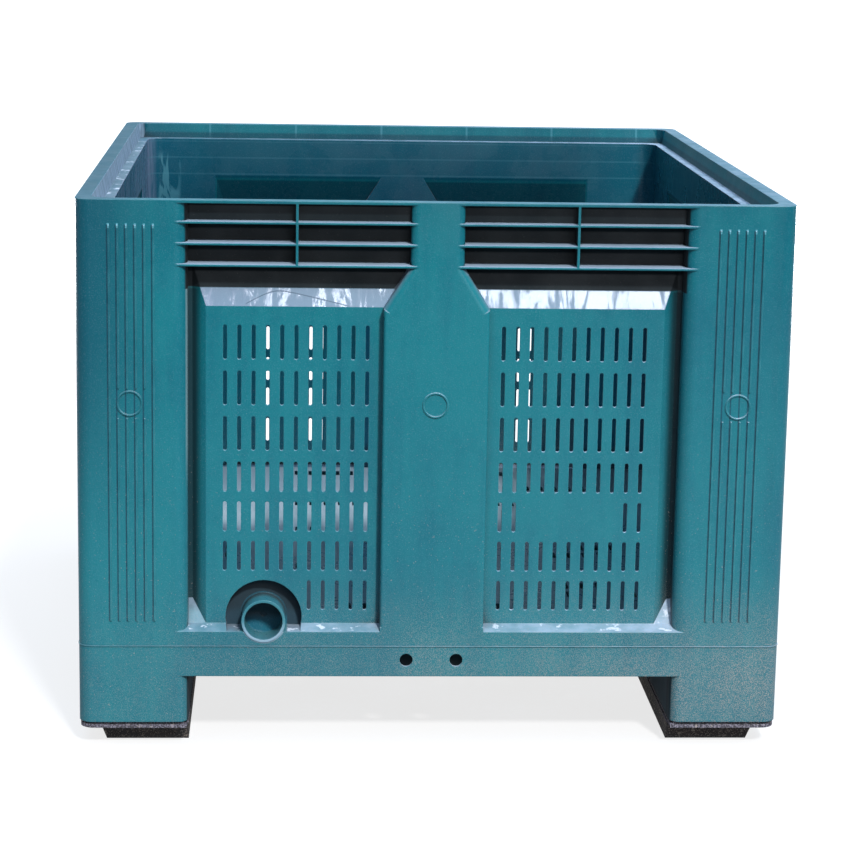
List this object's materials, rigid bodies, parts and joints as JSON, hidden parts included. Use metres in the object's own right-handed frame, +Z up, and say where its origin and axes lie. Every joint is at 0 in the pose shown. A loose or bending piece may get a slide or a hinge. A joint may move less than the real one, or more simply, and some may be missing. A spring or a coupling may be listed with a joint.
{
  "type": "fruit bin",
  "caption": "Large vented plastic harvest bin with ribbed rim bays, slotted wall panels, a closed drain spigot and two runners with screwed-on soles for four-way forklift entry.",
  "frame": {"origin": "middle of the footprint on the ground", "axes": "+X to the right when facing the drain side, +Y from the drain side to the back, +Z up"},
  "size_m": [1, 1.2, 0.78],
  "materials": {
    "teal_plastic": "moulded polyethylene, slightly grained, dusty low down",
    "sole_plastic": "black moulded plastic, scuffed and dusty",
    "screw_steel": "zinc-plated, dull"
  },
  "bodies": {
    "root": {"wall_frame": "teal_plastic", "base_tray": "teal_plastic", "left_sole": "sole_plastic", "right_sole": "sole_plastic", "left_sole_screws": "screw_steel", "right_sole_screws": "screw_steel"}
  },
  "joints": []
}
